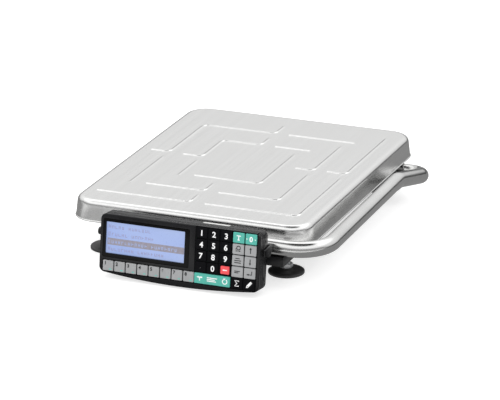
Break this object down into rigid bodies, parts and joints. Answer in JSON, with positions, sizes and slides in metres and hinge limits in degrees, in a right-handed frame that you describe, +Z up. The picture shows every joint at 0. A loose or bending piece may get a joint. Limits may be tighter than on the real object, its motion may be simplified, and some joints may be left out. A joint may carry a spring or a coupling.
{
  "type": "retail goods scale",
  "caption": "Portable retail scale: flat steel weighing pan on levelling feet, with a tilting keypad terminal carried on a folding side tube.",
  "frame": {"origin": "middle of the footprint on the floor, under the feet", "axes": "+Z up, +Y from the terminal side to the back, +X to the side that carries the stand tube"},
  "size_m": [0.3564, 0.473, 0.0805],
  "materials": {
    "stainless": "fine brushed stainless sheet",
    "polished_tube": "polished stainless tube",
    "zinc": "bright zinc plated",
    "black_steel": "black powder coat",
    "aluminium": "clear anodised",
    "black_plastic": "fine-textured black ABS",
    "foot_plastic": "matt black nylon",
    "window": "clear acrylic with a black printed border",
    "lcd_blue": "blue backlit display",
    "board_green": "solder mask",
    "battery_grey": "shrink sleeve",
    "overlay_black": "fine-textured polyester",
    "key_grey": "satin",
    "key_black": "satin",
    "key_teal": "satin",
    "key_red": "satin",
    "level_amber": "clear",
    "bush_nylon": "self-coloured nylon"
  },
  "bodies": {
    "base": {"base_frame": "black_steel", "load_cell": "aluminium", "bubble_level": "level_amber", "stand_bushing_outer": "bush_nylon", "stand_bushing_inner": "bush_nylon"},
    "upper_frame": {"load_frame": "black_steel"},
    "pan": {"platform_pan": "stainless"},
    "stand": {"stand_tube": "polished_tube", "stand_end_plug": "black_plastic", "terminal_bracket": "black_steel"},
    "terminal": {"front_housing": "black_plastic", "rear_housing": "black_plastic", "display_window": "window", "lcd_module": "lcd_blue", "main_board": "board_green", "key_switch_board": "board_green", "battery_pack": "battery_grey", "keypad_overlay": "overlay_black", "power_inlet": "black_plastic"},
    "knob_left": {"tilt_knob_left": "black_plastic"},
    "knob_right": {"tilt_knob_right": "black_plastic"},
    "stud_front_left": {"foot_stud_front_left": "zinc"},
    "foot_front_left": {"foot_pad_front_left": "foot_plastic"},
    "stud_front_right": {"foot_stud_front_right": "zinc"},
    "foot_front_right": {"foot_pad_front_right": "foot_plastic"},
    "stud_rear_left": {"foot_stud_rear_left": "zinc"},
    "foot_rear_left": {"foot_pad_rear_left": "foot_plastic"},
    "stud_rear_right": {"foot_stud_rear_right": "zinc"},
    "foot_rear_right": {"foot_pad_rear_right": "foot_plastic"},
    "function_key_1": {"function_key_1": "key_grey"},
    "function_key_2": {"function_key_2": "key_grey"},
    "function_key_3": {"function_key_3": "key_grey"},
    "function_key_4": {"function_key_4": "key_grey"},
    "function_key_5": {"function_key_5": "key_grey"},
    "function_key_6": {"function_key_6": "key_grey"},
    "function_key_7": {"function_key_7": "key_grey"},
    "function_key_8": {"function_key_8": "key_grey"},
    "number_key_1": {"number_key_1": "key_black"},
    "number_key_2": {"number_key_2": "key_black"},
    "number_key_3": {"number_key_3": "key_black"},
    "number_key_4": {"number_key_4": "key_black"},
    "number_key_5": {"number_key_5": "key_black"},
    "number_key_6": {"number_key_6": "key_black"},
    "number_key_7": {"number_key_7": "key_black"},
    "number_key_8": {"number_key_8": "key_black"},
    "number_key_9": {"number_key_9": "key_black"},
    "number_key_point": {"number_key_point": "key_black"},
    "number_key_0": {"number_key_0": "key_black"},
    "delete_key": {"delete_key": "key_red"},
    "tare_key": {"tare_key": "key_teal"},
    "zero_key": {"zero_key": "key_teal"},
    "stack_key": {"stack_key": "key_grey"},
    "up_key": {"up_key": "key_grey"},
    "net_gross_key": {"net_gross_key": "key_grey"},
    "down_key": {"down_key": "key_grey"},
    "lookup_key": {"lookup_key": "key_grey"},
    "enter_key": {"enter_key": "key_grey"},
    "total_key": {"total_key": "key_black"},
    "edit_key": {"edit_key": "key_black"},
    "menu_key": {"menu_key": "key_teal"}
  },
  "joints": [
    {"name": "weigh_deflection", "type": "slide", "parent": "base", "child": "upper_frame", "axis": [0, 0, 1], "range_m": [-0.0005, 0], "stiffness_N_per_m": 628000, "deforming": ["load_cell"]},
    {"name": "pan_lift", "type": "slide", "parent": "upper_frame", "child": "pan", "axis": [0, 0, 1], "range_m": [0, 0.06]},
    {"name": "stand_fold", "type": "hinge", "parent": "base", "child": "stand", "pos_m": [0.09821, 0.1831, 0.0335], "axis": [-1, 0, 0], "range_deg": [0, 80]},
    {"name": "terminal_tilt", "type": "hinge", "parent": "stand", "child": "terminal", "pos_m": [-0.00279, -0.21561, 0.05325], "axis": [-1, 0, 0], "range_deg": [-30, 25]},
    {"name": "knob_left_turn", "type": "hinge", "parent": "stand", "child": "knob_left", "pos_m": [-0.11179, -0.21561, 0.05325], "axis": [1, 0, 0], "range_deg": [-360, 360]},
    {"name": "knob_right_turn", "type": "hinge", "parent": "stand", "child": "knob_right", "pos_m": [0.10621, -0.21561, 0.05325], "axis": [1, 0, 0], "range_deg": [-360, 360]},
    {"name": "foot_travel_front_left", "type": "slide", "parent": "base", "child": "stud_front_left", "axis": [0, 0, -1], "range_m": [0, 0.006]},
    {"name": "foot_turn_front_left", "type": "hinge", "parent": "stud_front_left", "child": "foot_front_left", "pos_m": [-0.13779, -0.1349, 0.003], "axis": [0, 0, 1], "range_deg": [0, 1440]},
    {"name": "foot_travel_front_right", "type": "slide", "parent": "base", "child": "stud_front_right", "axis": [0, 0, -1], "range_m": [0, 0.006]},
    {"name": "foot_turn_front_right", "type": "hinge", "parent": "stud_front_right", "child": "foot_front_right", "pos_m": [0.09821, -0.1349, 0.003], "axis": [0, 0, 1], "range_deg": [0, 1440]},
    {"name": "foot_travel_rear_left", "type": "slide", "parent": "base", "child": "stud_rear_left", "axis": [0, 0, -1], "range_m": [0, 0.006]},
    {"name": "foot_turn_rear_left", "type": "hinge", "parent": "stud_rear_left", "child": "foot_rear_left", "pos_m": [-0.13779, 0.2011, 0.003], "axis": [0, 0, 1], "range_deg": [0, 1440]},
    {"name": "foot_travel_rear_right", "type": "slide", "parent": "base", "child": "stud_rear_right", "axis": [0, 0, -1], "range_m": [0, 0.006]},
    {"name": "foot_turn_rear_right", "type": "hinge", "parent": "stud_rear_right", "child": "foot_rear_right", "pos_m": [0.09821, 0.2011, 0.003], "axis": [0, 0, 1], "range_deg": [0, 1440]},
    {"name": "function_key_1_press", "type": "slide", "parent": "terminal", "child": "function_key_1", "axis": [0, 0.9912, -0.1323], "range_m": [0, 0.0007], "stiffness_N_per_m": 900, "springref_m": -0.0006},
    {"name": "function_key_2_press", "type": "slide", "parent": "terminal", "child": "function_key_2", "axis": [0, 0.9912, -0.1323], "range_m": [0, 0.0007], "stiffness_N_per_m": 900, "springref_m": -0.0006},
    {"name": "function_key_3_press", "type": "slide", "parent": "terminal", "child": "function_key_3", "axis": [0, 0.9912, -0.1323], "range_m": [0, 0.0007], "stiffness_N_per_m": 900, "springref_m": -0.0006},
    {"name": "function_key_4_press", "type": "slide", "parent": "terminal", "child": "function_key_4", "axis": [0, 0.9912, -0.1323], "range_m": [0, 0.0007], "stiffness_N_per_m": 900, "springref_m": -0.0006},
    {"name": "function_key_5_press", "type": "slide", "parent": "terminal", "child": "function_key_5", "axis": [0, 0.9912, -0.1323], "range_m": [0, 0.0007], "stiffness_N_per_m": 900, "springref_m": -0.0006},
    {"name": "function_key_6_press", "type": "slide", "parent": "terminal", "child": "function_key_6", "axis": [0, 0.9912, -0.1323], "range_m": [0, 0.0007], "stiffness_N_per_m": 900, "springref_m": -0.0006},
    {"name": "function_key_7_press", "type": "slide", "parent": "terminal", "child": "function_key_7", "axis": [0, 0.9912, -0.1323], "range_m": [0, 0.0007], "stiffness_N_per_m": 900, "springref_m": -0.0006},
    {"name": "function_key_8_press", "type": "slide", "parent": "terminal", "child": "function_key_8", "axis": [0, 0.9912, -0.1323], "range_m": [0, 0.0007], "stiffness_N_per_m": 900, "springref_m": -0.0006},
    {"name": "number_key_1_press", "type": "slide", "parent": "terminal", "child": "number_key_1", "axis": [0, 0.9912, -0.1323], "range_m": [0, 0.0007], "stiffness_N_per_m": 900, "springref_m": -0.0006},
    {"name": "number_key_2_press", "type": "slide", "parent": "terminal", "child": "number_key_2", "axis": [0, 0.9912, -0.1323], "range_m": [0, 0.0007], "stiffness_N_per_m": 900, "springref_m": -0.0006},
    {"name": "number_key_3_press", "type": "slide", "parent": "terminal", "child": "number_key_3", "axis": [0, 0.9912, -0.1323], "range_m": [0, 0.0007], "stiffness_N_per_m": 900, "springref_m": -0.0006},
    {"name": "number_key_4_press", "type": "slide", "parent": "terminal", "child": "number_key_4", "axis": [0, 0.9912, -0.1323], "range_m": [0, 0.0007], "stiffness_N_per_m": 900, "springref_m": -0.0006},
    {"name": "number_key_5_press", "type": "slide", "parent": "terminal", "child": "number_key_5", "axis": [0, 0.9912, -0.1323], "range_m": [0, 0.0007], "stiffness_N_per_m": 900, "springref_m": -0.0006},
    {"name": "number_key_6_press", "type": "slide", "parent": "terminal", "child": "number_key_6", "axis": [0, 0.9912, -0.1323], "range_m": [0, 0.0007], "stiffness_N_per_m": 900, "springref_m": -0.0006},
    {"name": "number_key_7_press", "type": "slide", "parent": "terminal", "child": "number_key_7", "axis": [0, 0.9912, -0.1323], "range_m": [0, 0.0007], "stiffness_N_per_m": 900, "springref_m": -0.0006},
    {"name": "number_key_8_press", "type": "slide", "parent": "terminal", "child": "number_key_8", "axis": [0, 0.9912, -0.1323], "range_m": [0, 0.0007], "stiffness_N_per_m": 900, "springref_m": -0.0006},
    {"name": "number_key_9_press", "type": "slide", "parent": "terminal", "child": "number_key_9", "axis": [0, 0.9912, -0.1323], "range_m": [0, 0.0007], "stiffness_N_per_m": 900, "springref_m": -0.0006},
    {"name": "number_key_point_press", "type": "slide", "parent": "terminal", "child": "number_key_point", "axis": [0, 0.9912, -0.1323], "range_m": [0, 0.0007], "stiffness_N_per_m": 900, "springref_m": -0.0006},
    {"name": "number_key_0_press", "type": "slide", "parent": "terminal", "child": "number_key_0", "axis": [0, 0.9912, -0.1323], "range_m": [0, 0.0007], "stiffness_N_per_m": 900, "springref_m": -0.0006},
    {"name": "delete_key_press", "type": "slide", "parent": "terminal", "child": "delete_key", "axis": [0, 0.9912, -0.1323], "range_m": [0, 0.0007], "stiffness_N_per_m": 900, "springref_m": -0.0006},
    {"name": "tare_key_press", "type": "slide", "parent": "terminal", "child": "tare_key", "axis": [0, 0.9912, -0.1323], "range_m": [0, 0.0007], "stiffness_N_per_m": 900, "springref_m": -0.0006},
    {"name": "zero_key_press", "type": "slide", "parent": "terminal", "child": "zero_key", "axis": [0, 0.9912, -0.1323], "range_m": [0, 0.0007], "stiffness_N_per_m": 900, "springref_m": -0.0006},
    {"name": "stack_key_press", "type": "slide", "parent": "terminal", "child": "stack_key", "axis": [0, 0.9912, -0.1323], "range_m": [0, 0.0007], "stiffness_N_per_m": 900, "springref_m": -0.0006},
    {"name": "up_key_press", "type": "slide", "parent": "terminal", "child": "up_key", "axis": [0, 0.9912, -0.1323], "range_m": [0, 0.0007], "stiffness_N_per_m": 900, "springref_m": -0.0006},
    {"name": "net_gross_key_press", "type": "slide", "parent": "terminal", "child": "net_gross_key", "axis": [0, 0.9912, -0.1323], "range_m": [0, 0.0007], "stiffness_N_per_m": 900, "springref_m": -0.0006},
    {"name": "down_key_press", "type": "slide", "parent": "terminal", "child": "down_key", "axis": [0, 0.9912, -0.1323], "range_m": [0, 0.0007], "stiffness_N_per_m": 900, "springref_m": -0.0006},
    {"name": "lookup_key_press", "type": "slide", "parent": "terminal", "child": "lookup_key", "axis": [0, 0.9912, -0.1323], "range_m": [0, 0.0007], "stiffness_N_per_m": 900, "springref_m": -0.0006},
    {"name": "enter_key_press", "type": "slide", "parent": "terminal", "child": "enter_key", "axis": [0, 0.9912, -0.1323], "range_m": [0, 0.0007], "stiffness_N_per_m": 900, "springref_m": -0.0006},
    {"name": "total_key_press", "type": "slide", "parent": "terminal", "child": "total_key", "axis": [0, 0.9912, -0.1323], "range_m": [0, 0.0007], "stiffness_N_per_m": 900, "springref_m": -0.0006},
    {"name": "edit_key_press", "type": "slide", "parent": "terminal", "child": "edit_key", "axis": [0, 0.9912, -0.1323], "range_m": [0, 0.0007], "stiffness_N_per_m": 900, "springref_m": -0.0006},
    {"name": "menu_key_press", "type": "slide", "parent": "terminal", "child": "menu_key", "axis": [0, 0.9912, -0.1323], "range_m": [0, 0.0007], "stiffness_N_per_m": 900, "springref_m": -0.0006}
  ],
  "couplings": [
    {"joint": "foot_travel_front_left", "follows": "foot_turn_front_left", "m_per_rad": 0.00023873},
    {"joint": "foot_travel_front_right", "follows": "foot_turn_front_right", "m_per_rad": 0.00023873},
    {"joint": "foot_travel_rear_left", "follows": "foot_turn_rear_left", "m_per_rad": 0.00023873},
    {"joint": "foot_travel_rear_right", "follows": "foot_turn_rear_right", "m_per_rad": 0.00023873}
  ]
}
